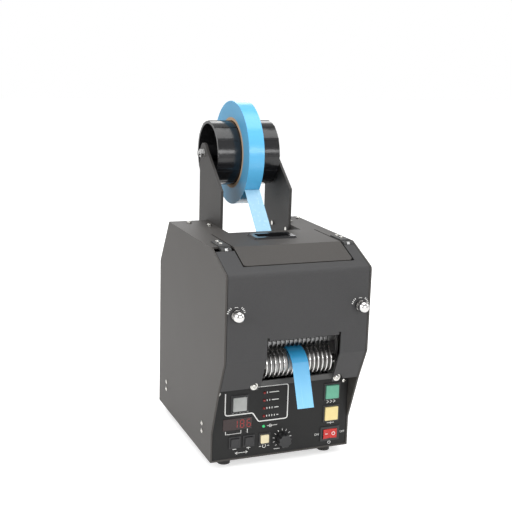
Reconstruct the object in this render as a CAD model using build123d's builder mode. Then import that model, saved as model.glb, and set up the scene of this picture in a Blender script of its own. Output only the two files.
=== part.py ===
import os
from math import atan2, cos, degrees, hypot, pi, radians, sin

from build123d import *

os.makedirs("parts", exist_ok=True)

# Driving dimensions of the housing, in millimetres
body_width = 162.6
body_depth = 230.2
body_height = 232.5
foot_height = 9.0
sheet = 2.0
front_reach = 15.0
rear_reach = 2.0
seat_gap = 0.3
bend_radius = 5.0
tray_height = 30.5
slope_setback = 45.2
slope_drop = 19.0
face_drop = 110.3
cover_undercut = 15.4
cover_drop = 145.2
chin_setback = 35.4
chin_height = 33.4
chamfer_depth = 34.7
chamfer_drop = 53.8
# Tape path and reel
tape_x = 7.2
tape_width = 18.5
tape_thick = 0.4
roll_radius = 60.9
core_bore_radius = 38.1
core_wall = 3.7
hub_length = 76.0
hub_wall = 3.0
axle_radius = 5.0
running_gap = 0.05
reel_setback = 208.4
reel_rise = 77.6
arm_thick = 3.0
arm_top_radius = 12.0
arm_depth = 76.0
arm_overlap = 15.5
arm_shoulder = 42.0
well_half = 43.6
well_sheet = 1.5
well_front = 117.6
well_depth = 65.0
# Feed rollers, gears and cutter
roller_setback = 25.6
roller_height = 110.0
disc_radius = 15.5
disc_thick = 0.9
disc_pitch = 4.93
disc_count = 16
shaft_radius = 3.0
gear_module = 0.9
feed_teeth = 32
press_teeth = 18
pinion_teeth = 14
gear_width = 4.0
frame_half = 46.0
frame_thick = 3.0
# Front cover window and lock knobs
window_half = 41.8
window_drop = 90.0
knob_spread = 69.4
knob_drop = 59.5
ball_radius = 6.2
# Control panel: centres are (across, height above the housing's bottom edge)
panel_recess = 0.5
panel_height = 83.0
cap_large = 15.6
cap_small = 9.4
cap_proud = 2.6
press_travel = 2.0
housing_wall = 1.6
housing_proud = 1.0
housing_depth = 12.0
select_at = (-49.5, 63.3)
advance_at = (59.6, 65.3)
cut_at = (59.6, 39.9)
shorter_at = (-53.9, 19.9)
longer_at = (-37.8, 19.9)
reset_at = (-19.5, 19.9)
dial_at = (1.5, 17.5)
switch_at = (59.0, 16.0)
switch_size = (21.0, 14.5)
display_at = (-51.2, 40.7)
display_size = (33.0, 13.2)
led_radius = 1.6
led_x = -20.8
led_heights = (72.6, 63.8, 54.9, 46.0)
memory_led_height = 34.3

# Places that follow from them
x_side = body_width / 2
x_inner = x_side - sheet
overall_depth = front_reach + max(reel_setback + roll_radius, body_depth + rear_reach)
y_front = front_reach - overall_depth / 2
y_rear = y_front + body_depth
y_chin = y_front + chin_setback
y_panel = y_chin + panel_recess
z_bottom = foot_height
z_top = z_bottom + body_height
z_seam = z_bottom + tray_height
crest = (y_front + slope_setback, z_top)
brow = (y_front, z_top - slope_drop)
cheek = (y_front, z_top - face_drop)
lip = (y_front + cover_undercut, z_top - cover_drop)
chin = (y_chin, z_bottom + chin_height)
rear_shoulder = (y_rear, z_top - chamfer_drop)
rear_crest = (y_rear - chamfer_depth, z_top)
y_reel = y_front + reel_setback
z_reel = z_top + reel_rise
y_well = y_front + well_front
z_well = z_top - well_depth
y_roller = y_front + roller_setback
z_roller = z_bottom + roller_height
press_drive = gear_module * (feed_teeth + press_teeth) / 2
z_press = z_roller + press_drive
press_radius = press_drive - disc_radius - tape_thick - seat_gap
pinion_drive = gear_module * (feed_teeth + pinion_teeth) / 2
pinion_turn = -2 * 360 / feed_teeth
y_motor = y_roller + pinion_drive * cos(radians(pinion_turn))
z_motor = z_roller + pinion_drive * sin(radians(pinion_turn))
z_tape = z_roller + disc_radius + seat_gap


def save(part, name):
    """Labels a finished piece and writes it."""
    part.label = name
    export_step(part, f"parts/{name}.step")


def facing_front(y):
    """The upright plane at depth y that looks forward."""
    return Plane.XZ.offset(-y)


def across(x):
    """The upright plane at x that looks to the right."""
    return Plane.YZ.offset(x)


def screw_group(name, *sets):
    """Pan-head screws, each set with its planes, head radius and height, shank radius and length, and washer."""
    with BuildPart() as group:
        for planes, head_radius, head_height, shank, shank_length, washer in sets:
            for plane in planes:
                with BuildSketch(plane):
                    Circle(head_radius)
                extrude(amount=head_height + washer)
                with BuildSketch(plane):
                    Circle(shank)
                extrude(amount=-shank_length)
                if washer:
                    with BuildSketch(plane):
                        Circle(head_radius * 1.5)
                    extrude(amount=washer)
    save(group.part, name)


# Chassis tray: floor and low side walls bent from one sheet
side_screw_y = (y_front + 63.3, y_front + 198.0)
side_screw_rise = 4.5
screw_radius = 1.5
foot_x = 60.0
foot_y = (y_chin + 17.0, y_rear - 20.0)
with BuildPart() as chassis_tray:
    with BuildSketch(facing_front(y_chin)):
        with BuildLine():
            Polyline(
                (-x_side, z_seam), (-x_side, z_bottom), (x_side, z_bottom), (x_side, z_seam),
                (x_inner, z_seam), (x_inner, z_bottom + sheet), (-x_inner, z_bottom + sheet), (-x_inner, z_seam),
                close=True,
            )
        make_face()
    extrude(amount=-(y_rear - y_chin))
    with BuildSketch(Plane.XY.offset(z_bottom)):
        with Locations(*[(x, y) for x in (-foot_x, foot_x) for y in foot_y]):
            Circle(screw_radius)
    extrude(amount=sheet, mode=Mode.SUBTRACT)
    with BuildSketch(across(-x_side)):
        with Locations(*[(y, z_seam - side_screw_rise) for y in side_screw_y]):
            Circle(screw_radius)
    extrude(amount=body_width, mode=Mode.SUBTRACT)
save(chassis_tray.part, "chassis_tray")

# Screws through the top plate, into flanges of the side panels and of the reel well
top_screw_at = ((tape_x - 69.0, y_front + 180.6), (tape_x + 69.0, y_front + 180.6),
                (tape_x - 50.5, y_front + 161.8), (tape_x + 50.5, y_front + 161.8))
flange_start = y_front + 150.0
flange_end = rear_crest[0] - 3.0

# Side panels: flat sheets with the shouldered outline, joined to the tray by strips behind the seam
strip_thick = 1.5
strip_size = (12.0, 20.0)
for side, name in ((-1, "side_panel_left"), (1, "side_panel_right")):
    with BuildPart() as side_panel:
        with BuildSketch(across(side * (x_side - sheet / 2))):
            with BuildLine():
                Polyline(
                    (y_chin, z_seam), chin, lip, cheek, brow, crest, rear_crest, rear_shoulder, (y_rear, z_seam),
                    close=True,
                )
            make_face()
            bends = [v for v in vertices() if (round(v.X, 3), round(v.Y, 3)) in
                     [(round(p[0], 3), round(p[1], 3)) for p in (cheek, brow)]]
            fillet(bends, bend_radius)
        extrude(amount=sheet / 2, both=True)
        with BuildSketch(across(side * x_inner)):
            with Locations(*[(y, z_seam + side_screw_rise) for y in side_screw_y]):
                Circle(screw_radius)
        extrude(amount=side * sheet, mode=Mode.SUBTRACT)
        flange_x = tape_x + side * (69.0 - 4.5)
        with BuildSketch(Plane.XY.offset(z_top - sheet)):
            with Locations(((side * x_inner + flange_x) / 2, (flange_start + flange_end) / 2)):
                Rectangle(abs(side * x_inner - flange_x), flange_end - flange_start)
            with Locations(*top_screw_at[:2]):
                Circle(screw_radius, mode=Mode.SUBTRACT)
        extrude(amount=-sheet)
    save(side_panel.part, name)
with BuildPart() as seam_strips:
    for side in (-1, 1):
        with BuildSketch(across(side * x_inner)):
            with Locations(*[(y, z_seam) for y in side_screw_y]):
                Rectangle(*strip_size)
            with Locations(*[(y, z_seam + dz) for y in side_screw_y for dz in (-side_screw_rise, side_screw_rise)]):
                Circle(screw_radius, mode=Mode.SUBTRACT)
        extrude(amount=-side * strip_thick)
save(seam_strips.part, "seam_strips")
side_screw_planes = [
    Plane(origin=(side * x_side, y, z_seam + dz), z_dir=(side, 0, 0))
    for side in (-1, 1) for y in side_screw_y for dz in (-side_screw_rise, side_screw_rise)
]

# Top plate: open to the rear round the reel well, with a centre flap bent down over the slope
flap_left = -57.0
flap_right = 65.5
flap_length = 34.0
flap_corner = 4.0
slit_width = 1.5
slit_length = 67.0
slope_angle = atan2(slope_drop, slope_setback)
grip_size = (50.0, 27.0)
grip_at = (3.0, y_front + 86.5)
grip_hole = (38.0, 15.0)
well_outer = well_half + well_sheet
hinge_strip = 4.0
leaf_length = 24.0
leaf_width = 11.0
leaf_thick = 1.2
leaf_x = ((flap_left - x_inner) / 2 + 1.5, (x_inner + flap_right) / 2 + 0.6)
with BuildPart() as top_plate:
    with BuildSketch(Plane.XY.offset(z_top)):
        with BuildLine():
            Polyline(
                (-x_inner, crest[0] + hinge_strip), (x_inner, crest[0] + hinge_strip),
                (x_inner, rear_crest[0]), (tape_x + well_outer, rear_crest[0]),
                (tape_x + well_outer, y_well - well_sheet), (tape_x - well_outer, y_well - well_sheet),
                (tape_x - well_outer, rear_crest[0]), (-x_inner, rear_crest[0]),
                close=True,
            )
        make_face()
    extrude(amount=-sheet)
    with BuildSketch(across(flap_left)):
        with BuildLine():
            Polyline(
                (crest[0] + hinge_strip, z_top), crest,
                (crest[0] - flap_length * cos(slope_angle), z_top - flap_length * sin(slope_angle)),
                (crest[0] - flap_length * cos(slope_angle) + sheet * sin(slope_angle),
                 z_top - flap_length * sin(slope_angle) - sheet * cos(slope_angle)),
                (crest[0] + sheet * sin(slope_angle) / (1 + cos(slope_angle)), z_top - sheet),
                (crest[0] + hinge_strip, z_top - sheet),
                close=True,
            )
        make_face()
    extrude(amount=flap_right - flap_left)
    fillet(edges().filter_by(lambda e: abs(e.length - sheet) < 0.05 and e.center().Y < crest[0] - 5), flap_corner)
    with BuildSketch(Plane.XY.offset(z_top)):
        for x in (flap_left - slit_width / 2, flap_right + slit_width / 2):
            with Locations((x, crest[0] + slit_length / 2)):
                Rectangle(slit_width, slit_length)
    extrude(amount=-sheet, mode=Mode.SUBTRACT)
    with BuildSketch(Plane.XY.offset(z_top)):
        with Locations(grip_at):
            Rectangle(grip_hole[0] + 2 * seat_gap + 2 * sheet, grip_hole[1] + 2 * seat_gap + 2 * sheet)
        with Locations(*top_screw_at):
            Circle(screw_radius)
    extrude(amount=-sheet, mode=Mode.SUBTRACT)
save(top_plate.part, "top_plate")

# Flush grip: a gloss frame with a shallow cup below it
grip_rim = 2.0
grip_cup_depth = 12.0
with BuildPart() as grip_cup:
    with BuildSketch(Plane.XY.offset(z_top)):
        with Locations(grip_at):
            RectangleRounded(*grip_size, 3.0)
    extrude(amount=grip_rim, taper=35)
    with BuildSketch(Plane.XY.offset(z_top)):
        with Locations(grip_at):
            RectangleRounded(grip_hole[0] + 2 * sheet, grip_hole[1] + 2 * sheet, 4.0)
    extrude(amount=-grip_cup_depth)
    with BuildSketch(Plane.XY.offset(z_top + grip_rim)):
        with Locations(grip_at):
            RectangleRounded(*grip_hole, 3.0)
    extrude(amount=-(grip_cup_depth + grip_rim - sheet), mode=Mode.SUBTRACT)
save(grip_cup.part, "grip_cup")

# Reel well: a trough between the arms, open at the top and rear, with the tape slot above its front wall
slot_height = 7.5
with BuildPart() as reel_well:
    with BuildSketch(across(tape_x - well_outer)):
        with BuildLine():
            Polyline(
                (y_well - well_sheet, z_well), (y_well - well_sheet, z_top), rear_crest, rear_shoulder,
                (y_rear, z_well),
                close=True,
            )
        make_face()
    extrude(amount=2 * well_outer)
    with BuildSketch(across(tape_x - well_half)):
        with Locations(((y_well + y_rear + well_sheet) / 2, (z_well + well_sheet + z_top) / 2 + 1)):
            Rectangle(y_rear - y_well + well_sheet, z_top - z_well - well_sheet + 2)
    extrude(amount=2 * well_half, mode=Mode.SUBTRACT)
    with BuildSketch(facing_front(y_well)):
        with Locations((tape_x, z_top - (sheet + slot_height) / 2)):
            Rectangle(2 * well_half, sheet + slot_height)
    extrude(amount=well_sheet * 2, both=True, mode=Mode.SUBTRACT)
    with BuildSketch(Plane.XY.offset(z_top - sheet)):
        for side in (-1, 1):
            with Locations((tape_x + side * (well_outer + 5.0), (flange_start + flange_end) / 2)):
                Rectangle(10.0, flange_end - flange_start)
        with Locations(*top_screw_at[2:]):
            Circle(screw_radius, mode=Mode.SUBTRACT)
    extrude(amount=-sheet)
save(reel_well.part, "reel_well")

# Rear panel: upright sheet with its top leaning forward, cut away round the well and for the power inlet
inlet_at = (-40.0, z_bottom + 34.0)
inlet_size = (27.0, 20.0)
vent_count = 7
vent_size = (34.0, 3.0)
chamfer_slope = chamfer_drop / chamfer_depth
chamfer_angle = atan2(chamfer_drop, chamfer_depth)
mitre = sheet * (1 - cos(chamfer_angle)) / sin(chamfer_angle)
with BuildPart() as rear_panel:
    with BuildSketch(across(-x_inner)):
        with BuildLine():
            inner_shoulder = (y_rear - sheet, rear_shoulder[1] - sheet * (1 - sin(chamfer_angle)) / cos(chamfer_angle))
            inner_rise = (y_rear - sheet - rear_crest[0]) * chamfer_slope
            Polyline(
                (y_rear, z_bottom + sheet), rear_shoulder, rear_crest,
                (rear_crest[0], inner_shoulder[1] + inner_rise), inner_shoulder, (y_rear - sheet, z_bottom + sheet),
                close=True,
            )
        make_face()
    extrude(amount=2 * x_inner)
    with BuildSketch(facing_front(y_rear)):
        with Locations((tape_x, z_well + (z_top - z_well) / 2 + 1)):
            Rectangle(2 * well_outer, z_top - z_well + 2)
        with Locations(inlet_at):
            Rectangle(*inlet_size)
    extrude(amount=chamfer_depth + 1, mode=Mode.SUBTRACT)
    with BuildSketch(facing_front(y_rear)):
        with Locations((35.0, z_bottom + 60.0)):
            with GridLocations(1, 2 * vent_size[1], 1, vent_count):
                SlotOverall(*vent_size)
    extrude(amount=sheet, mode=Mode.SUBTRACT)
save(rear_panel.part, "rear_panel")

# Power inlet in the rear panel: a shrouded socket with three blades
inlet_wall = 2.0
inlet_depth = 22.0
inlet_flange = 1.5
with BuildPart() as power_inlet:
    with BuildSketch(facing_front(y_rear)):
        with Locations(inlet_at):
            RectangleRounded(inlet_size[0] + 4 * inlet_wall, inlet_size[1] + 2 * inlet_wall, 2.0)
    extrude(amount=-inlet_flange)
    with BuildSketch(facing_front(y_rear)):
        with Locations(inlet_at):
            Rectangle(*inlet_size)
    extrude(amount=inlet_depth)
    with BuildSketch(facing_front(y_rear + inlet_flange)):
        with Locations(inlet_at):
            Rectangle(inlet_size[0] - 2 * inlet_wall, inlet_size[1] - 2 * inlet_wall)
    extrude(amount=inlet_flange + inlet_depth - 2 * inlet_wall, mode=Mode.SUBTRACT)
    with BuildSketch(facing_front(y_rear - inlet_depth + 2 * inlet_wall)):
        with Locations(*[(inlet_at[0] + dx, inlet_at[1] + dz) for dx, dz in ((-7, -2), (0, 2), (7, -2))]):
            Rectangle(2, 5)
    extrude(amount=-(inlet_depth - 4 * inlet_wall))
save(power_inlet.part, "power_inlet")

# Control panel: upright sheet between the tray walls, with a cut-out for each control
panel_gap = 0.6
panel_top = z_bottom + panel_height
corner_screw_at = (73.6, 77.0)
housing_small = cap_small + 2 * (seat_gap + housing_wall)
housing_large = cap_large + 2 * (seat_gap + housing_wall)
dial_shaft_radius = 3.0
dial_neck_radius = 4.5


def on_panel(place):
    """A control's centre in the panel's own upright plane."""
    return (place[0], z_bottom + place[1])


small_places = [on_panel(p) for p in (shorter_at, longer_at, reset_at)]
large_places = [on_panel(p) for p in (select_at, advance_at, cut_at)]
with BuildPart() as control_panel:
    with BuildSketch(facing_front(y_panel)):
        with Locations((0, (z_bottom + sheet + panel_top) / 2)):
            Rectangle(2 * (x_inner - panel_gap), panel_height - sheet)
        with Locations(*small_places):
            Rectangle(housing_small, housing_small, mode=Mode.SUBTRACT)
        with Locations(*large_places):
            Rectangle(housing_large, housing_large, mode=Mode.SUBTRACT)
        with Locations(on_panel(switch_at)):
            Rectangle(*switch_size, mode=Mode.SUBTRACT)
        with Locations(on_panel(display_at)):
            Rectangle(*display_size, mode=Mode.SUBTRACT)
        with Locations(on_panel(dial_at)):
            Circle(dial_neck_radius, mode=Mode.SUBTRACT)
        with Locations(*[(led_x, z_bottom + h) for h in (*led_heights, memory_led_height)]):
            Circle(led_radius, mode=Mode.SUBTRACT)
        with Locations(*[(side * corner_screw_at[0], z_bottom + corner_screw_at[1]) for side in (-1, 1)]):
            Circle(screw_radius, mode=Mode.SUBTRACT)
    extrude(amount=-sheet)
save(control_panel.part, "control_panel")
panel_screw_planes = [
    Plane(origin=(side * corner_screw_at[0], y_panel, z_bottom + corner_screw_at[1]), z_dir=(0, -1, 0))
    for side in (-1, 1)
]

# Button housings: square tubes with a back wall, set in the panel
with BuildPart() as button_housings:
    for places, cap in ((small_places, cap_small), (large_places, cap_large)):
        with BuildSketch(facing_front(y_panel - housing_proud)):
            with Locations(*places):
                Rectangle(cap + 2 * (seat_gap + housing_wall), cap + 2 * (seat_gap + housing_wall))
        extrude(amount=-(housing_proud + housing_depth))
        with BuildSketch(facing_front(y_panel - housing_proud)):
            with Locations(*places):
                Rectangle(cap + 2 * seat_gap, cap + 2 * seat_gap)
        extrude(amount=-(housing_proud + housing_depth - housing_wall), mode=Mode.SUBTRACT)
save(button_housings.part, "button_housings")

# Push buttons: rounded caps that slide in the housings
cap_length = housing_depth - housing_wall + cap_proud - press_travel - seat_gap
buttons = {
    "select_button": (select_at, cap_large),
    "advance_button": (advance_at, cap_large),
    "cut_button": (cut_at, cap_large),
    "shorter_button": (shorter_at, cap_small),
    "longer_button": (longer_at, cap_small),
    "reset_button": (reset_at, cap_small),
}
for name, (place, cap) in buttons.items():
    with BuildPart() as button:
        with BuildSketch(facing_front(y_panel - cap_proud)):
            with Locations(on_panel(place)):
                RectangleRounded(cap, cap, 1.0)
        extrude(amount=-cap_length)
        fillet(faces().sort_by(Axis.Y)[0].edges(), 0.6)
    save(button.part, name)

# Power switch: a frame with a tilting rocker on two side pivots
rocker_pivot_depth = 2.0
rocker_tilt = 8.0
rocker_size = (switch_size[0] - 2 * (housing_wall + seat_gap), switch_size[1] - 2 * (housing_wall + seat_gap))
pivot_radius = 1.0
pivot_length = 1.2
pivot_y = y_panel + rocker_pivot_depth
z_switch = z_bottom + switch_at[1]
with BuildPart() as switch_frame:
    with BuildSketch(facing_front(y_panel)):
        with Locations(on_panel(switch_at)):
            Rectangle(switch_size[0] + 2, switch_size[1] + 2)
    extrude(amount=housing_proud)
    with BuildSketch(facing_front(y_panel)):
        with Locations(on_panel(switch_at)):
            Rectangle(*switch_size)
    extrude(amount=-housing_depth)
    with BuildSketch(facing_front(y_panel - housing_proud)):
        with Locations(on_panel(switch_at)):
            Rectangle(switch_size[0] - 2 * housing_wall, switch_size[1] - 2 * housing_wall)
    extrude(amount=-(housing_proud + housing_depth - housing_wall), mode=Mode.SUBTRACT)
    for side in (-1, 1):
        with BuildSketch(Plane.XY.offset(z_switch + side * (switch_size[1] / 2 - housing_wall))):
            with Locations((switch_at[0], pivot_y)):
                Circle(pivot_radius)
        extrude(amount=-side * pivot_length)
save(switch_frame.part, "switch_frame")
rocker_half = rocker_size[0] / 2 - 0.4
rocker_face = 3.4
rocker_depth = 3.0
with BuildPart() as power_rocker:
    with BuildSketch(Plane.XY.offset(z_switch - rocker_size[1] / 2)):
        with Locations((switch_at[0], pivot_y)):
            Polygon(
                (-rocker_half, -rocker_face - 0.6), (0, -rocker_face + 0.4), (rocker_half, -rocker_face - 0.6),
                (rocker_half * 0.7, rocker_depth), (-rocker_half * 0.7, rocker_depth),
                align=None,
            )
            Circle(pivot_radius + running_gap, mode=Mode.SUBTRACT)
    extrude(amount=rocker_size[1])
save(power_rocker.part, "power_rocker")

# Display window and indicator lamps
lens_proud = 0.6
with BuildPart() as display_window:
    with BuildSketch(facing_front(y_panel - lens_proud)):
        with Locations(on_panel(display_at)):
            Rectangle(*display_size)
    extrude(amount=-(lens_proud + sheet + 4))
    fillet(faces().sort_by(Axis.Y)[0].edges(), 0.4)
save(display_window.part, "display_window")
lamp_groups = {"mode_lamps": led_heights, "memory_lamp": (memory_led_height,)}
for name, heights in lamp_groups.items():
    with BuildPart() as lamps:
        with BuildSketch(facing_front(y_panel)):
            with Locations(*[(led_x, z_bottom + h) for h in heights]):
                Circle(led_radius)
        extrude(amount=-(sheet + 4))
        with Locations(*[(led_x, y_panel, z_bottom + h) for h in heights]):
            Sphere(led_radius)
    save(lamps.part, name)

# Control board: a circuit board on the back of the panel, carried by the lamps, housings and dial
board_thick = 1.6
board_y = y_panel + housing_depth
with BuildPart() as control_board:
    with BuildSketch(facing_front(board_y)):
        with Locations((0, z_bottom + sheet + 2 + 39)):
            Rectangle(2 * (x_inner - 4), 70)
    extrude(amount=-board_thick)
    with BuildSketch(facing_front(board_y + board_thick)):
        with Locations((-30, z_bottom + 45)):
            Rectangle(14, 14)
        with Locations((20, z_bottom + 55)):
            Rectangle(18, 9)
        with Locations((10, z_bottom + 30)):
            Circle(5)
    extrude(amount=-3)
    with BuildSketch(facing_front(board_y)):
        with Locations(*[(side * corner_screw_at[0], z_bottom + h) for side in (-1, 1) for h in (10, 72)]):
            Circle(2.5)
    extrude(amount=housing_depth - sheet)
save(control_board.part, "control_board")

# Dial: a fluted pointer knob on the shaft of a potentiometer
dial_radius = 7.5
dial_length = 10.0
dial_flutes = 8
with BuildPart() as dial_base:
    with BuildSketch(facing_front(y_panel)):
        with Locations(on_panel(dial_at)):
            Circle(dial_neck_radius)
            Circle(dial_shaft_radius + running_gap, mode=Mode.SUBTRACT)
    extrude(amount=-sheet)
    with BuildSketch(facing_front(y_panel + sheet)):
        with Locations(on_panel(dial_at)):
            Circle(9.0)
    extrude(amount=-(housing_depth - sheet))
    with BuildSketch(facing_front(y_panel)):
        with Locations(on_panel(dial_at)):
            Circle(dial_shaft_radius + running_gap)
    extrude(amount=-(housing_depth - 2), mode=Mode.SUBTRACT)
save(dial_base.part, "dial_base")
with BuildPart() as dial_knob:
    with BuildSketch(facing_front(y_panel - seat_gap)):
        with Locations(on_panel(dial_at)):
            Circle(dial_radius)
            with PolarLocations(dial_radius + 0.9, dial_flutes):
                Circle(2.0, mode=Mode.SUBTRACT)
    extrude(amount=dial_length)
    chamfer(faces().sort_by(Axis.Y)[0].edges(), 0.5)
    with BuildSketch(facing_front(y_panel - seat_gap)):
        with Locations(on_panel(dial_at)):
            Circle(dial_shaft_radius)
    extrude(amount=-(housing_depth - 3))
save(dial_knob.part, "dial_knob")

# Feet: rubber buttons screwed under the tray
foot_radius = 8.0
with BuildPart() as rubber_feet:
    with BuildSketch(Plane.XY.offset(z_bottom)):
        with Locations(*[(x, y) for x in (-foot_x, foot_x) for y in foot_y]):
            Circle(foot_radius)
    extrude(amount=-foot_height, taper=6)
save(rubber_feet.part, "rubber_feet")
foot_screw_planes = [Plane.XY.offset(z_bottom + sheet).move(Location((x, y, 0))) for x in (-foot_x, foot_x) for y in foot_y]

# Reel arms: two tapered plates screwed to the inside of the well
arm_rear = y_reel + arm_top_radius
arm_front = arm_rear - arm_depth
arm_base = z_top - arm_overlap
slant_angle = radians(152)
arm_screw_at = ((arm_front + 6.0, z_top - 6.0), (arm_front + 47.0, z_top - 6.0))
for side, name in ((-1, "arm_left"), (1, "arm_right")):
    with BuildPart() as arm:
        with BuildSketch(across(tape_x + side * well_half)):
            with BuildLine():
                shoulder = (y_reel + arm_top_radius * cos(slant_angle), z_reel + arm_top_radius * sin(slant_angle))
                Polyline(
                    (arm_rear, z_reel), (arm_rear, arm_base), (arm_front, arm_base), (arm_front, z_top + arm_shoulder),
                    shoulder,
                )
                ThreePointArc(shoulder, (y_reel, z_reel + arm_top_radius), (arm_rear, z_reel))
            make_face()
            with Locations((y_reel, z_reel)):
                Circle(axle_radius, mode=Mode.SUBTRACT)
            with Locations(*arm_screw_at):
                Circle(screw_radius, mode=Mode.SUBTRACT)
        extrude(amount=-side * arm_thick)
    save(arm.part, name)
arm_screw_planes = [
    Plane(origin=(tape_x + side * (well_half - arm_thick), *place), z_dir=(-side, 0, 0))
    for side in (-1, 1) for place in arm_screw_at
]
screw_group("arm_screws", (arm_screw_planes, 2.6, 1.2, screw_radius, arm_thick, 0))

# Axle: a plain rod between the arms with a threaded end, closed by cap nuts outside
nut_across = 9.0
nut_thick = 4.0
axle_end = 7.0
nut_bore = 3.0
with BuildPart() as axle:
    with BuildSketch(across(tape_x - well_half)):
        with Locations((y_reel, z_reel)):
            Circle(axle_radius)
    extrude(amount=2 * well_half)
    with BuildSketch(across(tape_x - well_half - axle_end)):
        with Locations((y_reel, z_reel)):
            Circle(nut_bore)
    extrude(amount=2 * (well_half + axle_end))
save(axle.part, "axle")
with BuildPart() as axle_nuts:
    for side in (-1, 1):
        with BuildSketch(across(tape_x + side * well_half)):
            with Locations((y_reel, z_reel)):
                RegularPolygon(nut_across / 2, 6, major_radius=False)
                Circle(nut_bore, mode=Mode.SUBTRACT)
        extrude(amount=side * nut_thick)
save(axle_nuts.part, "axle_nuts")

# Reel hub: an open drum with ribs on its skin and a spoked web round the axle tube
rib_count = 12
rib_height = 0.5
hub_radius = core_bore_radius - rib_height - 0.1
web_thick = 4.0
hub_tube = 10.0
hub_window = 12.0
with BuildPart() as reel_hub:
    with BuildSketch(across(tape_x - hub_length / 2)):
        with Locations((y_reel, z_reel)):
            Circle(hub_radius)
            with PolarLocations(hub_radius, rib_count):
                Rectangle(2 * rib_height, 3.0)
            Circle(hub_radius - hub_wall, mode=Mode.SUBTRACT)
    extrude(amount=hub_length)
    with BuildSketch(across(tape_x - web_thick / 2)):
        with Locations((y_reel, z_reel)):
            Circle(hub_radius - hub_wall / 2)
            with PolarLocations((hub_radius + hub_tube) / 2, 6):
                Circle(hub_window / 2, mode=Mode.SUBTRACT)
    extrude(amount=web_thick)
    with BuildSketch(across(tape_x - hub_length / 2)):
        with Locations((y_reel, z_reel)):
            Circle(hub_tube)
    extrude(amount=hub_length)
    with BuildSketch(across(tape_x - hub_length / 2)):
        with Locations((y_reel, z_reel)):
            Circle(axle_radius + running_gap)
    extrude(amount=hub_length, mode=Mode.SUBTRACT)
    for side in (-1, 1):
        with BuildSketch(across(tape_x + side * hub_length / 2)):
            with Locations((y_reel, z_reel)):
                Circle(hub_tube)
                Circle(axle_radius + running_gap, mode=Mode.SUBTRACT)
        extrude(amount=side * (well_half - arm_thick - hub_length / 2 - seat_gap))
save(reel_hub.part, "reel_hub")
core_radius = core_bore_radius + core_wall
for name, inner, outer in (("tape_core", core_bore_radius, core_radius), ("tape_roll", core_radius, roll_radius)):
    with BuildPart() as ring:
        with BuildSketch(across(tape_x - tape_width / 2)):
            with Locations((y_reel, z_reel)):
                Circle(outer)
                Circle(inner, mode=Mode.SUBTRACT)
        extrude(amount=tape_width)
    save(ring.part, name)

# Tape: it peels off the roll, enters the slot, is cut between the blades and leaves over the feed discs
peel_angle = radians(218)
blade_y = y_roller + 22.0
blade_gap = 2.0
entry = (y_well + 2.2, z_top - sheet)
peel = (
    y_reel + (roll_radius + seat_gap) * cos(peel_angle) - tape_thick,
    z_reel + (roll_radius + seat_gap) * sin(peel_angle),
)
with BuildPart() as tape_run:
    with BuildSketch(across(tape_x - tape_width / 2)):
        with BuildLine() as run_line:
            Polyline(peel, entry, (blade_y + blade_gap + 6, z_tape + 3), (blade_y + blade_gap, z_tape))
            offset(amount=tape_thick, side=Side.RIGHT)
        make_face()
    extrude(amount=tape_width)
save(tape_run.part, "tape_run")
tail_x = 4.6
tail_end = (y_front - front_reach + tape_thick, z_bottom + 71.0)
with BuildPart() as tape_tail:
    with BuildSketch(across(tail_x - tape_width / 2)):
        with BuildLine() as tail_line:
            tail_flat = Line((blade_y - blade_gap, z_tape), (y_roller, z_tape))
            tail_bend = TangentArc(tail_flat @ 1, (y_roller - disc_radius - 6.5, z_tape - 11.0), tangent=tail_flat % 1)
            Line(tail_bend @ 1, tail_end)
            offset(amount=tape_thick, side=Side.RIGHT)
        make_face()
    extrude(amount=tape_width)
save(tape_tail.part, "tape_tail")

# Mechanism frame: two side plates that stand on the tray floor and carry the rollers and blades
strip_y = y_front + cover_undercut + sheet + 0.6
frame_front = strip_y + sheet
frame_rear = y_well + 20.0
frame_leg = y_panel + housing_depth + 8.0
frame_top = z_press + 14.0
blade_slot = 1.6
for side, name in ((-1, "frame_plate_left"), (1, "frame_plate_right")):
    with BuildPart() as frame_plate:
        with BuildSketch(across(tape_x + side * frame_half)):
            with BuildLine():
                Polyline(
                    (frame_front, panel_top + 5), (frame_front, frame_top), (frame_rear, frame_top),
                    (frame_rear, z_bottom + sheet), (frame_leg, z_bottom + sheet), (frame_leg, panel_top + 5),
                    close=True,
                )
            make_face()
            for height in (z_roller, z_press):
                with Locations((y_roller, height)):
                    Circle(shaft_radius + running_gap, mode=Mode.SUBTRACT)
        extrude(amount=side * frame_thick)
    save(frame_plate.part, name)

# Guide strip: the bar below the window, screwed to ears on the frame plates
strip_top = lip[1] + 7.0
strip_height = 14.0
guide_screw_x = (tape_x - 48.0, tape_x + 48.0)
guide_screw_z = lip[1] + 1.4
wing_top = z_roller - gear_module * (feed_teeth / 2 + 0.85) - 0.6
with BuildPart() as guide_strip:
    with BuildSketch(facing_front(strip_y)):
        with Locations((tape_x, strip_top - strip_height / 2)):
            Rectangle(2 * frame_half, strip_height)
        with Locations((tape_x, (wing_top + strip_top - strip_height) / 2)):
            Rectangle(2 * (frame_half + frame_thick + sheet), wing_top - strip_top + strip_height)
        with Locations(*[(x, guide_screw_z) for x in guide_screw_x]):
            Circle(screw_radius, mode=Mode.SUBTRACT)
    extrude(amount=-sheet)
    for side in (-1, 1):
        with BuildSketch(across(tape_x + side * (frame_half + frame_thick))):
            with Locations((frame_front + 3.0, (wing_top + strip_top - strip_height) / 2)):
                Rectangle(6.0, wing_top - strip_top + strip_height)
        extrude(amount=side * sheet)
save(guide_strip.part, "guide_strip")
guide_screw_planes = [Plane(origin=(x, strip_y, guide_screw_z), z_dir=(0, -1, 0)) for x in guide_screw_x]
screw_group("guide_screws", (guide_screw_planes, 2.8, 1.3, screw_radius, sheet, 0.5))


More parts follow.
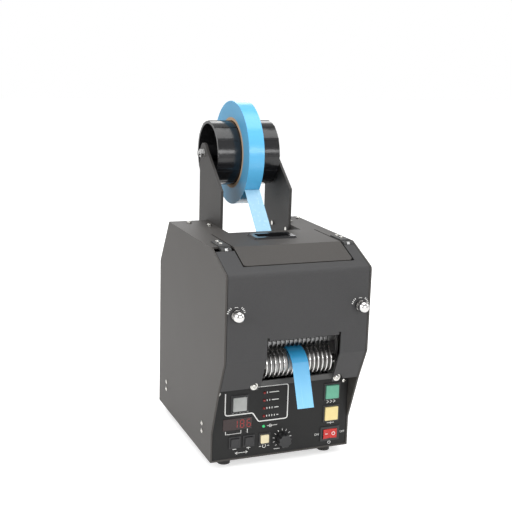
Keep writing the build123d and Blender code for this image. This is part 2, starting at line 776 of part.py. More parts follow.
def gear_face(teeth, first_angle):
    """A spur gear's outline: straight-flanked teeth with backlash on a root circle."""
    pitch = gear_module * teeth / 2
    root = pitch - 1.15 * gear_module
    tip = pitch + 0.85 * gear_module
    step = 360 / teeth
    flank = root * sin(radians(0.3 * step))
    foot = root * cos(radians(0.3 * step)) - 0.1
    land = tip * sin(radians(0.1 * step))
    with BuildSketch() as face:
        Circle(root)
        with PolarLocations(0, teeth, start_angle=first_angle):
            Polygon((foot, -flank), (tip, -land), (tip, land), (foot, flank), align=None)
    return face.sketch


# Feed roller: thin steel discs with spacers on a shaft, driven by a gear outside the left plate
gear_x = tape_x - frame_half - frame_thick - seat_gap
shaft_end = tape_x + frame_half + frame_thick + 1.0
disc_start = tape_x - disc_pitch * (disc_count - 1) / 2
spacer_radius = 7.0
gears = {
    "feed_gear": (feed_teeth, y_roller, z_roller, 0.0),
    "press_gear": (press_teeth, y_roller, z_press, 0.0),
}
rollers = {
    "feed_roller": (disc_radius, spacer_radius, z_roller),
    "press_roller": (press_radius, shaft_radius + 1.0, z_press),
}
for name, (radius, spacer, height) in rollers.items():
    with BuildPart() as roller:
        with BuildSketch(across(gear_x - gear_width)):
            with Locations((y_roller, height)):
                Circle(shaft_radius)
        extrude(amount=shaft_end - gear_x + gear_width)
        with BuildSketch(across(tape_x - frame_half + seat_gap)):
            with Locations((y_roller, height)):
                Circle(spacer)
        extrude(amount=2 * (frame_half - seat_gap))
        for n in range(disc_count):
            with BuildSketch(across(disc_start + n * disc_pitch - disc_thick / 2)):
                with Locations((y_roller, height)):
                    Circle(radius)
            extrude(amount=disc_thick)
    save(roller.part, name)
for name, (teeth, y, z, first) in gears.items():
    with BuildPart() as gear:
        with BuildSketch(Plane(origin=(gear_x, y, z), x_dir=(0, 1, 0), z_dir=(1, 0, 0))):
            add(gear_face(teeth, first))
            Circle(shaft_radius, mode=Mode.SUBTRACT)
        extrude(amount=-gear_width)
    save(gear.part, name)

# Feed motor: a gearmotor on three posts, with a pinion that drives the feed gear
motor_radius = 14.0
motor_length = 26.0
motor_shaft = 2.0
post_radius = 2.0
post_ring = 11.0
motor_x = gear_x - gear_width - 1.0
with BuildPart() as motor_pinion:
    with BuildSketch(Plane(origin=(gear_x, y_motor, z_motor), x_dir=(0, 1, 0), z_dir=(1, 0, 0))):
        add(gear_face(pinion_teeth, 180 + pinion_turn + 180 / pinion_teeth))
    extrude(amount=-gear_width)
    with BuildSketch(across(motor_x)):
        with Locations((y_motor, z_motor)):
            Circle(motor_shaft)
    extrude(amount=-8)
    with BuildSketch(across(motor_x)):
        with Locations((y_motor, z_motor)):
            Circle(motor_shaft)
    extrude(amount=gear_x - motor_x)
save(motor_pinion.part, "motor_pinion")
with BuildPart() as feed_motor:
    with BuildSketch(across(motor_x)):
        with Locations((y_motor, z_motor)):
            Circle(motor_radius)
    extrude(amount=-motor_length)
    with BuildSketch(across(motor_x)):
        with Locations((y_motor, z_motor)):
            Circle(motor_shaft + running_gap)
    extrude(amount=-10, mode=Mode.SUBTRACT)
    with BuildSketch(across(motor_x)):
        with Locations(*[(y_motor + post_ring * cos(radians(a)), z_motor + post_ring * sin(radians(a))) for a in (-70, 0, 70)]):
            Circle(post_radius)
    extrude(amount=gear_x + seat_gap - motor_x)
save(feed_motor.part, "feed_motor")

# Cutter: a fixed blade below the tape and a sliding blade above it, with its own gearmotor
blade_thick = 1.6
blade_travel = 5.0
blade_rest = 3.0
fixed_top = z_tape - seat_gap
blade_width = 2 * (frame_half - seat_gap)
with BuildPart() as fixed_blade:
    with BuildSketch(facing_front(blade_y + seat_gap / 2)):
        with Locations((tape_x, fixed_top - 7)):
            Rectangle(2 * frame_half, 14)
    extrude(amount=-blade_thick)
    chamfer(edges().filter_by(Axis.X).group_by(Axis.Z)[-1].sort_by(Axis.Y)[-1], 0.8)
save(fixed_blade.part, "fixed_blade")
with BuildPart() as cutter_blade:
    with BuildSketch(facing_front(blade_y - seat_gap / 2)):
        with BuildLine():
            low = z_tape + tape_thick + blade_rest
            Polyline(
                (tape_x - blade_width / 2, low), (tape_x + blade_width / 2, low + 2),
                (tape_x + blade_width / 2, low + 13), (tape_x - blade_width / 2, low + 13),
                close=True,
            )
        make_face()
    extrude(amount=blade_thick)
save(cutter_blade.part, "cutter_blade")
with BuildPart() as cutter_motor:
    with BuildSketch(across(tape_x + frame_half + frame_thick)):
        with Locations((blade_y + 24, z_roller - 14)):
            Circle(motor_radius)
    extrude(amount=20)
save(cutter_motor.part, "cutter_motor")
with BuildPart() as tape_sensor:
    with BuildSketch(across(tape_x + frame_half)):
        with Locations((y_roller, z_press + press_radius + 4.0)):
            Rectangle(8, 6)
    extrude(amount=-4)
    with BuildSketch(across(tape_x + frame_half - 4)):
        with Locations((y_roller, z_press + press_radius + 4.0)):
            Circle(1.5)
    extrude(amount=-0.6)
save(tape_sensor.part, "tape_sensor")
with BuildPart() as power_supply:
    with BuildSketch(Plane.XY.offset(z_bottom + sheet)):
        with Locations((-20, y_rear - 62)):
            Rectangle(66, 60)
    extrude(amount=1.6)
    with BuildSketch(Plane.XY.offset(z_bottom + sheet + 1.6)):
        with Locations((-34, y_rear - 66)):
            Rectangle(28, 34)
        with Locations((0, y_rear - 80), (0, y_rear - 62), (0, y_rear - 44)):
            Circle(7)
    extrude(amount=24)
save(power_supply.part, "power_supply")

# Front cover: one bent sheet, notched for the flap and the tape window, with turned-in sides
cover_gap = 0.5
cover_half = x_inner - cover_gap
hinge_gap = 7.0
flap_gap = 1.5
cover_flange = 9.0
relief_width = 2.4
relief_rise = 3.0
hinge_y = crest[0] - 3.2
hinge_z = z_top - 2.6
pin_radius = 1.2
knuckle_radius = 2.4
cover_start = (crest[0] - hinge_gap * cos(slope_angle), z_top - hinge_gap * sin(slope_angle))
window_top = z_top - window_drop
shank_radius = 3.0
knob_places = [(side * knob_spread, z_top - knob_drop) for side in (-1, 1)]
flange_top = z_top - knob_drop - 12.0
with BuildPart() as front_cover:
    with BuildSketch(across(-cover_half)):
        with BuildLine():
            FilletPolyline(cover_start, brow, cheek, lip, radius=bend_radius)
            offset(amount=sheet, side=Side.LEFT)
        make_face()
    extrude(amount=2 * cover_half)
    with BuildSketch(facing_front(y_front - 1)):
        with Locations((tape_x, (window_top + z_bottom) / 2)):
            Rectangle(2 * window_half, window_top - z_bottom)
        for side in (-1, 1):
            with Locations((tape_x + side * (window_half - relief_width / 2), window_top)):
                Rectangle(relief_width, 2 * relief_rise)
        with Locations(*knob_places):
            Circle(shank_radius + seat_gap)
        with Locations(*[(x, lip[1]) for x in guide_screw_x]):
            Circle(6.0)
    extrude(amount=-(cover_undercut + 8), mode=Mode.SUBTRACT)
    with BuildSketch(Plane.XY.offset(z_top + 1)):
        with Locations(((flap_left + flap_right) / 2, crest[0] - (flap_length * cos(slope_angle) + flap_gap) / 2)):
            Rectangle(flap_right - flap_left + 2 * flap_gap, flap_length * cos(slope_angle) + flap_gap)
    extrude(amount=-(slope_drop + 6), mode=Mode.SUBTRACT)
    for side in (-1, 1):
        with BuildSketch(across(side * cover_half)):
            with BuildLine():
                Polyline(
                    (y_front + sheet, flange_top), (y_front + sheet, cheek[1] + 4),
                    (y_front + sheet + cover_flange, cheek[1] + 4), (y_front + sheet + cover_flange, flange_top),
                    close=True,
                )
            make_face()
        extrude(amount=-side * sheet)
save(front_cover.part, "front_cover")

# Hinges: a fixed leaf on the top plate, a knuckle on the cover and a pin through both
leaf_screw_radius = 1.2
leaf_screw_at = [(x, crest[0] + hinge_strip + leaf_length * share) for x in leaf_x for share in (0.35, 0.8)]
with BuildPart() as hinge_leaves:
    with BuildSketch(Plane.XY.offset(z_top)):
        with Locations(*[(x, crest[0] + hinge_strip + 0.5 + leaf_length / 2) for x in leaf_x]):
            Rectangle(leaf_width, leaf_length)
        with Locations(*leaf_screw_at):
            Circle(leaf_screw_radius, mode=Mode.SUBTRACT)
    extrude(amount=leaf_thick)
    for x in leaf_x:
        with BuildSketch(across(x - leaf_width / 2)):
            with BuildLine():
                plate_edge = crest[0] + hinge_strip
                Polyline(
                    (hinge_y, hinge_z + knuckle_radius), (plate_edge - 1.4, hinge_z + knuckle_radius),
                    (plate_edge - leaf_thick, z_top + leaf_thick), (plate_edge + 1, z_top + leaf_thick),
                    (plate_edge + 1, z_top), (plate_edge, z_top), (plate_edge, z_top - sheet),
                    (hinge_y + 1.6, hinge_z - 1.8), (hinge_y, hinge_z - knuckle_radius),
                    close=True,
                )
            make_face()
            with Locations((hinge_y, hinge_z)):
                Circle(knuckle_radius)
        extrude(amount=leaf_width)
        with BuildSketch(across(x - leaf_width / 6)):
            with Locations((hinge_y, hinge_z)):
                Rectangle(3 * knuckle_radius, 3 * knuckle_radius)
        extrude(amount=leaf_width / 3, mode=Mode.SUBTRACT)
        with BuildSketch(across(x - leaf_width / 2)):
            with Locations((hinge_y, hinge_z)):
                Circle(pin_radius)
        extrude(amount=leaf_width, mode=Mode.SUBTRACT)
save(hinge_leaves.part, "hinge_leaves")
leaf_screw_planes = [Plane.XY.offset(z_top + leaf_thick).move(Location((x, y, 0))) for x, y in leaf_screw_at]
screw_group("hinge_screws", (leaf_screw_planes, 2.2, 0.9, leaf_screw_radius, leaf_thick, 0))
with BuildPart() as hinge_pins:
    with BuildSketch(across(leaf_x[0] - leaf_width / 2)):
        with Locations((hinge_y, hinge_z)):
            Circle(pin_radius)
    extrude(amount=leaf_width)
    with BuildSketch(across(leaf_x[1] - leaf_width / 2)):
        with Locations((hinge_y, hinge_z)):
            Circle(pin_radius)
    extrude(amount=leaf_width)
save(hinge_pins.part, "hinge_pins")
with BuildPart() as cover_knuckles:
    for x in leaf_x:
        with BuildSketch(across(x - leaf_width / 6 + seat_gap)):
            with Locations((hinge_y, hinge_z)):
                Circle(knuckle_radius)
            with BuildLine():
                normal = (sin(slope_angle), -cos(slope_angle))
                seat = (cover_start[0] + sheet * normal[0], cover_start[1] + sheet * normal[1])
                reach = 9.0
                along = (-cos(slope_angle) * reach, -sin(slope_angle) * reach)
                Polyline(
                    (hinge_y, hinge_z - knuckle_radius), (hinge_y, hinge_z), seat,
                    (seat[0] + along[0], seat[1] + along[1]),
                    (seat[0] + along[0] + normal[0] * 1.2, seat[1] + along[1] + normal[1] * 1.2),
                    close=True,
                )
            make_face()
            with Locations((hinge_y, hinge_z)):
                Circle(pin_radius + running_gap, mode=Mode.SUBTRACT)
        extrude(amount=leaf_width / 3 - 2 * seat_gap)
save(cover_knuckles.part, "cover_knuckles")

# Catches: bent plates on the side panels that the cams of the lock knobs turn behind
catch_front = y_front + sheet + 0.6
catch_height = 12.0
catch_depth = 16.0
with BuildPart() as lock_catches:
    for side in (-1, 1):
        catch_tip = knob_spread + shank_radius + 0.8
        with BuildSketch(facing_front(catch_front + sheet)):
            with Locations((side * (catch_tip + x_inner) / 2, knob_places[0][1])):
                Rectangle(x_inner - catch_tip, catch_height)
        extrude(amount=sheet)
        with BuildSketch(across(side * x_inner)):
            with Locations((catch_front + catch_depth / 2, knob_places[0][1])):
                Rectangle(catch_depth, catch_height)
        extrude(amount=-side * sheet)
save(lock_catches.part, "lock_catches")

# Lock knobs: a chromed ball on a collar, with a cam that points up and turns out behind the catch
collar_radius = 5.6
collar_height = 2.0
cam_length = 10.0
cam_thick = 2.5
cam_front = catch_front + sheet + 0.5
for name, place in zip(("lock_knob_left", "lock_knob_right"), knob_places):
    with BuildPart() as lock_knob:
        with BuildSketch(facing_front(y_front - seat_gap)):
            with Locations(place):
                Circle(collar_radius)
        extrude(amount=collar_height)
        with Locations((place[0], y_front - seat_gap - collar_height - ball_radius * 0.85, place[1])):
            Sphere(ball_radius)
        with BuildSketch(facing_front(y_front - seat_gap)):
            with Locations(place):
                Circle(shank_radius)
        extrude(amount=y_front - seat_gap - cam_front - cam_thick)
        with BuildSketch(facing_front(cam_front)):
            with Locations((place[0], place[1] + cam_length / 2 - shank_radius)):
                SlotOverall(cam_length, 2 * shank_radius, rotation=90)
        extrude(amount=-cam_thick)
    save(lock_knob.part, name)

# Screws through the top plate into the side panels' top flanges
top_screw_planes = [Plane.XY.offset(z_top).move(Location((x, y, 0))) for x, y in top_screw_at]
screw_group(
    "housing_screws",
    (side_screw_planes, 2.6, 0.8, screw_radius, sheet + strip_thick, 0),
    (panel_screw_planes, 2.4, 1.0, screw_radius, sheet, 0),
    (foot_screw_planes, 3.0, 1.6, screw_radius, sheet, 0),
    (top_screw_planes, 2.8, 1.4, screw_radius, 2 * sheet, 0),
)
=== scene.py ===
import math

import bmesh
import bpy
from mathutils import Matrix, Vector


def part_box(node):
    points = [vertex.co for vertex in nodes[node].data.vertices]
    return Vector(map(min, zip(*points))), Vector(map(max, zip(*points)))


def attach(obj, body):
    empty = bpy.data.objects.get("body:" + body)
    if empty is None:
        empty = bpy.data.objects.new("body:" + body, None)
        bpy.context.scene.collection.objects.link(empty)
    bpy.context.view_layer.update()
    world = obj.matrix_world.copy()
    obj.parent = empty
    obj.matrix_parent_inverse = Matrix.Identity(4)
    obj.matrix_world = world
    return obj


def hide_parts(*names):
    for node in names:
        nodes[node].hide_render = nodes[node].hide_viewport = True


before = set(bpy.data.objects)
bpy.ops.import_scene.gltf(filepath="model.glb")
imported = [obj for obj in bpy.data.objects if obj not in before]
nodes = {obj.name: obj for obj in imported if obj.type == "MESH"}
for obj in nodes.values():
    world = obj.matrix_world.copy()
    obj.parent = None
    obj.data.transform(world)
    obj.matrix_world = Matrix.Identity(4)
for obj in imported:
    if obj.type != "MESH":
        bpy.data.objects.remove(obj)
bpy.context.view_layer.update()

# The studio: a seamless pale floor among large soft boxes, seen by a camera at the height of a
# seated operator's eyes, to the left of the machine. White surroundings show in gloss and metal.
camera_place = Vector((-0.39947, -0.99195, 0.45028))
camera_yaw = math.radians(22.0)
camera_pitch = math.radians(12.62)
camera_roll = math.radians(1.72)
ahead = Vector((
    math.sin(camera_yaw) * math.cos(camera_pitch),
    math.cos(camera_yaw) * math.cos(camera_pitch),
    -math.sin(camera_pitch),
))
level = Vector((math.cos(camera_yaw), -math.sin(camera_yaw), 0))
overhead = level.cross(ahead)
camera_right = math.cos(camera_roll) * level + math.sin(camera_roll) * overhead
camera_up = math.cos(camera_roll) * overhead - math.sin(camera_roll) * level
lens = bpy.data.cameras.new("camera")
lens.sensor_width = 36.0
lens.lens = 67.77
camera = bpy.data.objects.new("camera", lens)
camera_turn = Matrix((camera_right, camera_up, -ahead)).transposed().to_4x4()
camera.matrix_world = Matrix.Translation(camera_place) @ camera_turn
bpy.context.scene.collection.objects.link(camera)
bpy.context.scene.camera = camera
bpy.context.scene.view_settings.view_transform = "Standard"

machine = Vector((0, -0.03, 0.2))
soft_boxes = {
    "left_box": ((-1.3, -0.5, 0.75), (0.9, 0.9), 12.8),
    "front_box": ((0.15, -1.6, 0.62), (1.3, 0.32), 8.2),
    "top_box": ((0.1, -0.2, 1.6), (1.2, 1.2), 12.8),
    "right_box": ((1.4, -0.4, 0.8), (0.8, 0.8), 4.5),
    "rear_box": ((0.2, 1.5, 1.0), (1.2, 0.8), 6.8),
}
for name, (place, size, power) in soft_boxes.items():
    lamp = bpy.data.lights.new(name, "AREA")
    lamp.shape = "RECTANGLE"
    lamp.size, lamp.size_y = size
    lamp.energy = power
    box = bpy.data.objects.new(name, lamp)
    box.location = place
    box.rotation_euler = (machine - Vector(place)).to_track_quat("-Z", "Y").to_euler()
    bpy.context.scene.collection.objects.link(box)


class Value:
    """A shader socket in a sum: arithmetic on it adds Math nodes, and node() adds any other node."""

    def __init__(self, socket):
        self.socket = socket

    def node(self, kind, settings, inputs, output=0):
        """Adds a node, makes its settings and ramp stops, fills its sockets and gives one of its outputs."""
        tree = self.socket.node.id_data
        made = tree.nodes.new(kind)
        for name, setting in settings.items():
            if name == "stops":
                for stop, (position, color) in zip(made.color_ramp.elements, setting):
                    stop.position = position
                    stop.color = (*color, 1)
            else:
                setattr(made, name, setting)
        for name, value in inputs.items():
            if isinstance(value, Value):
                tree.links.new(value.socket, made.inputs[name])
            else:
                made.inputs[name].default_value = value
        return Value(made.outputs[output])

    def math(self, operation, first, second):
        return self.node("ShaderNodeMath", {"operation": operation}, {0: first, 1: second})

    def __add__(self, other):
        return self.math("ADD", self, other)

    def __radd__(self, other):
        return self.math("ADD", other, self)

    def __sub__(self, other):
        return self.math("SUBTRACT", self, other)

    def __rsub__(self, other):
        return self.math("SUBTRACT", other, self)

    def __mul__(self, other):
        return self.math("MULTIPLY", self, other)

    def __rmul__(self, other):
        return self.math("MULTIPLY", other, self)

    def __gt__(self, other):
        return self.math("GREATER_THAN", self, other)

    def __lt__(self, other):
        return self.math("LESS_THAN", self, other)


world = bpy.data.worlds.new("white_room")
bpy.context.scene.world = world
world.use_nodes = True
room = world.node_tree.nodes["Background"]
room_light = 0.62
room_path = Value(world.node_tree.nodes.new("ShaderNodeLightPath").outputs["Is Camera Ray"])
glossy_ray = Value(room_path.socket.node.outputs["Is Glossy Ray"])
clear_ray = Value(room_path.socket.node.outputs["Is Transmission Ray"])
glossy_share = 0.15
seen = room_path + clear_ray + glossy_ray * glossy_share
room.inputs["Color"].default_value = (1, 1, 1, 1)
world.node_tree.links.new((seen * (1 - room_light) + room_light).socket, room.inputs["Strength"])

floor_mesh = bpy.data.meshes.new("floor")
floor_reach = 6.0
floor_mesh.from_pydata(
    [(-floor_reach, -floor_reach, 0), (floor_reach, -floor_reach, 0),
     (floor_reach, floor_reach, 0), (-floor_reach, floor_reach, 0)],
    [], [(0, 1, 2, 3)],
)
floor = bpy.data.objects.new("floor", floor_mesh)
bpy.context.scene.collection.objects.link(floor)
floor_paper = bpy.data.materials.new("floor_paper")
floor_paper.use_nodes = True
paper_nodes = floor_paper.node_tree.nodes
paper = paper_nodes["Principled BSDF"]
paper.inputs["Base Color"].default_value = (0.70, 0.70, 0.695, 1)
paper.inputs["Roughness"].default_value = 0.6
floor_path = Value(paper_nodes.new("ShaderNodeLightPath").outputs["Is Camera Ray"])
floor_glow = floor_path + Value(floor_path.socket.node.outputs["Is Glossy Ray"])
paper.inputs["Emission Strength"].default_value = 1.0
floor_glow_strength = 0.57
floor_white = floor_glow * floor_glow_strength
glow_color = floor_white.node("ShaderNodeCombineColor", {}, {channel: floor_white for channel in range(3)})
floor_paper.node_tree.links.new(glow_color.socket, paper.inputs["Emission Color"])
floor_mesh.materials.append(floor_paper)


# Housing: tray, side panels, top, well and rear panel of bent steel sheet under one coat of
# fine-texture powder, warm dark grey, that lies a little lighter on its grain's tips.
def finish(name, color, roughness, metallic=0.0, **constants):
    """Starts a material: gives it, its shader and the place on the object in metres."""
    material = bpy.data.materials.new(name)
    material.use_nodes = True
    shader = material.node_tree.nodes["Principled BSDF"]
    shader.inputs["Base Color"].default_value = (*color, 1)
    shader.inputs["Roughness"].default_value = roughness
    shader.inputs["Metallic"].default_value = metallic
    for socket, number in constants.items():
        shader.inputs[socket.replace("_", " ")].default_value = number
    place = Value(material.node_tree.nodes.new("ShaderNodeTexCoord").outputs["Object"])
    return material, shader, place


def feed(shader, socket, value):
    """Links a value to one of the shader's sockets."""
    shader.id_data.links.new(value.socket, shader.inputs[socket])


def grain(place, size, detail=2.0):
    """Noise from 0 to 1 whose grains are about `size` metres across."""
    return place.node("ShaderNodeTexNoise", {}, {"Vector": place, "Scale": 1 / size, "Detail": detail})


def tint(mask, under, over):
    """One colour where the mask is 0 and another where it is 1."""
    under, over = ((*color, 1) if isinstance(color, tuple) else color for color in (under, over))
    return mask.node("ShaderNodeMix", {"data_type": "RGBA"}, {0: mask, 6: under, 7: over}, 2)


def emboss(shader, height, depth):
    """Feeds a height from 0 to 1, worth `depth` metres, to the shader's normal."""
    bump = height.node("ShaderNodeBump", {}, {"Strength": 1.0, "Distance": depth, "Height": height})
    feed(shader, "Normal", bump)


def dress(material, *names):
    """Gives CAD nodes their finish."""
    for name in names:
        for socket in nodes[name].material_slots:
            socket.material = material


def powder_coat(name, color, lighter, grain_size=0.0007):
    """Fine-texture powder: pebbled, with a slow drift in tone and gloss."""
    material, shader, place = finish(name, color, 0.5, Specular_IOR_Level=0.34)
    pebbles = grain(place, grain_size, 3.0)
    drift = grain(place, 0.06)
    feed(shader, "Base Color", tint(pebbles * 0.75 + drift * 0.25, color, lighter))
    feed(shader, "Roughness", 0.44 + pebbles * 0.12 + drift * 0.08)
    emboss(shader, pebbles, 0.00007)
    return material


housing_coat = powder_coat("housing_coat", (0.033, 0.030, 0.028), (0.070, 0.065, 0.060))
dress(housing_coat, "chassis_tray", "side_panel_left", "side_panel_right", "top_plate", "reel_well", "rear_panel")

# Front cover: one bent sheet, hinged at the crest, in the same powder but darker and cooler. Its
# darker tone is painted shade on the front, which faces away from the light on the left. The space
# between its knobs stays plain.
shaded_cover_coat = powder_coat("shaded_cover_coat", (0.025, 0.025, 0.026), (0.056, 0.055, 0.056))
dress(shaded_cover_coat, "front_cover")

# Reel arms: flat plates in the same powder, bolted inside the well. Their darker copy of the
# powder is painted shade, for the shade inside the well.
shaded_arm_coat = powder_coat("shaded_arm_coat", (0.022, 0.021, 0.020), (0.046, 0.043, 0.041))
dress(shaded_arm_coat, "arm_left", "arm_right")

# Guide strip: the bar below the tape window, mid grey with a soft sheen and faint lengthwise rub
# marks from the tape. It is narrow between its two ears, which take the screws.
mm = 0.001
guide_gray, guide_shader, guide_place = finish("guide_gray", (0.05, 0.05, 0.049), 0.4)
guide_rub = guide_place.node("ShaderNodeMapping", {}, {"Vector": guide_place, "Scale": (40, 1, 900)})
guide_lines = guide_rub.node("ShaderNodeTexNoise", {}, {"Vector": guide_rub, "Scale": 2.0, "Detail": 2.0})
feed(guide_shader, "Base Color", tint(guide_lines, (0.035, 0.035, 0.034), (0.07, 0.07, 0.068)))
feed(guide_shader, "Roughness", 0.32 + guide_lines * 0.18)
guide_low, guide_high = (Vector(corner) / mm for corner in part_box("guide_strip"))
bar_top, bar_bottom, ear_bottom, ear_width, guide_sheet = 102.3, 96.3, 93.0, 8.0, 2.0
guide_outline = [
    (guide_low.x, ear_bottom), (guide_low.x + ear_width, ear_bottom), (guide_low.x + ear_width, bar_bottom),
    (guide_high.x - ear_width, bar_bottom), (guide_high.x - ear_width, ear_bottom), (guide_high.x, ear_bottom),
    (guide_high.x, bar_top), (guide_low.x, bar_top),
]
guide_shape = bmesh.new()
guide_corners = [guide_shape.verts.new((x * mm, guide_low.y * mm, z * mm)) for x, z in guide_outline]
guide_face = guide_shape.faces.new(guide_corners)
guide_back = bmesh.ops.extrude_face_region(guide_shape, geom=[guide_face])["geom"]
bmesh.ops.translate(
    guide_shape, verts=[v for v in guide_back if isinstance(v, bmesh.types.BMVert)], vec=(0, guide_sheet * mm, 0),
)
for wing_x in (guide_low.x, guide_high.x - guide_sheet):
    wing = bmesh.ops.create_cube(guide_shape, size=mm)["verts"]
    wing_size = Vector((guide_sheet, guide_high.y - guide_low.y - guide_sheet, bar_top - ear_bottom))
    wing_middle = Vector((
        wing_x + guide_sheet / 2, (guide_low.y + guide_sheet + guide_high.y) / 2, (bar_top + ear_bottom) / 2,
    ))
    bmesh.ops.scale(guide_shape, verts=wing, vec=wing_size)
    bmesh.ops.translate(guide_shape, verts=wing, vec=wing_middle * mm)
bmesh.ops.recalc_face_normals(guide_shape, faces=guide_shape.faces)
guide_mesh = bpy.data.meshes.new("guide_bar")
guide_shape.to_mesh(guide_mesh)
guide_shape.free()
guide_mesh.materials.append(guide_gray)
guide_bar = bpy.data.objects.new("guide_bar", guide_mesh)
bpy.context.scene.collection.objects.link(guide_bar)
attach(guide_bar, "housing")
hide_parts("guide_strip")

# Control panel: steel sheet with a matte near-black film over it, printed in white. The print is
# a thin layer of ink: frame line, ticks and signs.
panel_film, panel_shader, panel_place = finish("panel_film", (0.012, 0.012, 0.012), 0.5, Specular_IOR_Level=0.25)
panel_grain = grain(panel_place, 0.0004)
feed(panel_shader, "Base Color", tint(panel_grain, (0.009, 0.009, 0.009), (0.018, 0.018, 0.018)))
feed(panel_shader, "Roughness", 0.46 + panel_grain * 0.14)
emboss(panel_shader, panel_grain, 0.00002)
dress(panel_film, "control_panel")

white_ink, ink_shader, ink_place = finish("white_ink", (0.78, 0.78, 0.76), 0.5)
ink_wear = grain(ink_place, 0.0009)
feed(ink_shader, "Base Color", tint(ink_wear, (0.66, 0.66, 0.64), (0.86, 0.86, 0.84)))
ink_lift = 0.06 * mm


def rounded(points, radius):
    """A path through the points with its inner corners turned into arcs."""
    path = [points[0]]
    for before, corner, after in zip(points, points[1:], points[2:]):
        back = (before - corner).normalized()
        onward = (after - corner).normalized()
        turn = math.acos(max(-1.0, min(1.0, back.dot(onward)))) / 2
        run = min(radius / math.tan(turn), (before - corner).length / 2, (after - corner).length / 2)
        start, end = corner + back * run, corner + onward * run
        for n in range(7):
            share = n / 6
            path.append((1 - share) ** 2 * start + 2 * share * (1 - share) * corner + share ** 2 * end)
    path.append(points[-1])
    return path


def ink_lines(name, y, strokes, body, material=white_ink):
    """Flat strokes of (points in mm, width in mm) on an upright face at y that looks forward."""
    ink = bmesh.new()
    for points, width in strokes:
        points = [Vector(p) for p in points]
        half = width / 2
        edges = []
        for n, point in enumerate(points):
            ahead_run = points[min(n + 1, len(points) - 1)] - point
            behind_run = point - points[max(n - 1, 0)]
            run = (ahead_run.normalized() + behind_run.normalized()).normalized()
            side = Vector((-run.y, run.x))
            rails = [point + s * half * side for s in (-1, 1)]
            edges.append([ink.verts.new((rail.x * mm, y, rail.y * mm)) for rail in rails])
        for a, b in zip(edges, edges[1:]):
            ink.faces.new((a[0], b[0], b[1], a[1]))
    bmesh.ops.recalc_face_normals(ink, faces=ink.faces)
    for face in ink.faces:
        if face.normal.y > 0:
            face.normal_flip()
    mesh = bpy.data.meshes.new(name)
    ink.to_mesh(mesh)
    ink.free()
    mesh.materials.append(material)
    printed = bpy.data.objects.new(name, mesh)
    bpy.context.scene.collection.objects.link(printed)
    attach(printed, body)
    return printed


def arc(center, radius, start, end, steps=14):
    """Points along an arc, in mm, from one angle to another in degrees."""
    turns = [math.radians(start + (end - start) * n / steps) for n in range(steps + 1)]
    return [(center[0] + radius * math.cos(a), center[1] + radius * math.sin(a)) for a in turns]


panel_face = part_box("control_panel")[0][1]
panel_ink = panel_face - ink_lift
frame_line = rounded([Vector(p) for p in (
    (-65.5, 85.0), (-65.5, 60.2), (-34.0, 60.2), (-27.0, 49.6), (6.7, 49.6), (6.7, 89.0), (-36.5, 89.0),
)], 3.2)
lamp_rows = (81.6, 72.8, 63.9, 55.0)
dial_center = (1.5, 26.5)
signs = [
    (frame_line, 1.15),
    ([(-64.5, 42.3), (-64.5, 38.8), (-47.0, 38.8), (-47.0, 42.3)], 0.7),
    ([(-39.6, 43.4), (-39.6, 38.2)], 0.7),
]
for n, row in enumerate(lamp_rows):
    signs += [([(-17.6 + 3.0 * k, row - 1.0), (-17.6 + 3.0 * k, row + 1.0)], 0.9) for k in range(n + 1)]
    signs.append(([(-17.6 + 3.0 * (n + 1) - 0.6, row), (-4.0, row)], 0.9))
signs.append(([(-16.8, 43.3), (-5.0, 43.3)], 0.55))
signs.append((arc((-13.0, 43.3), 1.5, 0, 360), 0.5))
signs += [([(-57.5 + 4 * k, 62.7), (-55.3 + 4 * k, 62.7)], 1.3) for k in range(5)]
for x in (55.0, 59.0, 63.0):
    signs.append(([(x - 1.1, 64.3), (x + 1.3, 62.7), (x - 1.1, 61.1)], 0.75))
signs += [([(55.3, 37.6), (63.9, 37.6)], 0.6), ([(59.6, 39.2), (59.6, 36.0)], 0.6)]
signs += [([(-56.0, 20.9), (-51.8, 20.9)], 0.7), ([(-40.0, 20.9), (-35.6, 20.9)], 0.7)]
signs.append(([(-37.8, 22.9), (-37.8, 18.9)], 0.7))
signs += [([(-52.5, 16.2), (-39.0, 16.2)], 0.6), ([(-50.6, 17.6), (-52.9, 16.2), (-50.6, 14.8)], 0.6),
          ([(-40.9, 17.6), (-38.6, 16.2), (-40.9, 14.8)], 0.6)]
signs += [(arc((-19.5, 20.3), 1.9, 120, 420), 0.6), ([(-19.5, 23.2), (-18.0, 21.9), (-17.5, 23.9)], 0.6)]
signs += [([(-25.4, 20.4), (-23.0, 20.4)], 0.6), ([(-16.0, 20.4), (-13.6, 20.4)], 0.6)]
for k in range(11):
    angle = math.radians(225 - 27 * k)
    ray = (math.cos(angle), math.sin(angle))
    signs.append(([(dial_center[0] + r * ray[0], dial_center[1] + r * ray[1]) for r in (9.0, 11.2)], 0.6))
signs.append(([(-8.0, 15.2), (-1.0, 15.2)], 0.6))
signs += [(arc((59.0, 14.4), 1.6, 125, 415), 0.55), ([(59.0, 14.6), (59.0, 17.0)], 0.55)]
ink_lines("panel_print", panel_ink, signs, "housing")


def lettering(name, words, x, y, z, height, body, material):
    """Plain letters or digits, centred at a place in mm on an upright face at y that looks forward."""
    text = bpy.data.curves.new(name, "FONT")
    text.body = words
    text.size = height * mm
    text.align_x = "CENTER"
    text.align_y = "CENTER"
    text.materials.append(material)
    label = bpy.data.objects.new(name, text)
    label.location = (x * mm, y, z * mm)
    label.rotation_euler = (math.radians(90), 0, 0)
    bpy.context.scene.collection.objects.link(label)
    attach(label, body)


lettering("switch_on", "ON", 43.2, panel_ink, 25.2, 3.4, "housing", white_ink)
lettering("switch_off", "OFF", 74.6, panel_ink, 25.2, 3.4, "housing", white_ink)

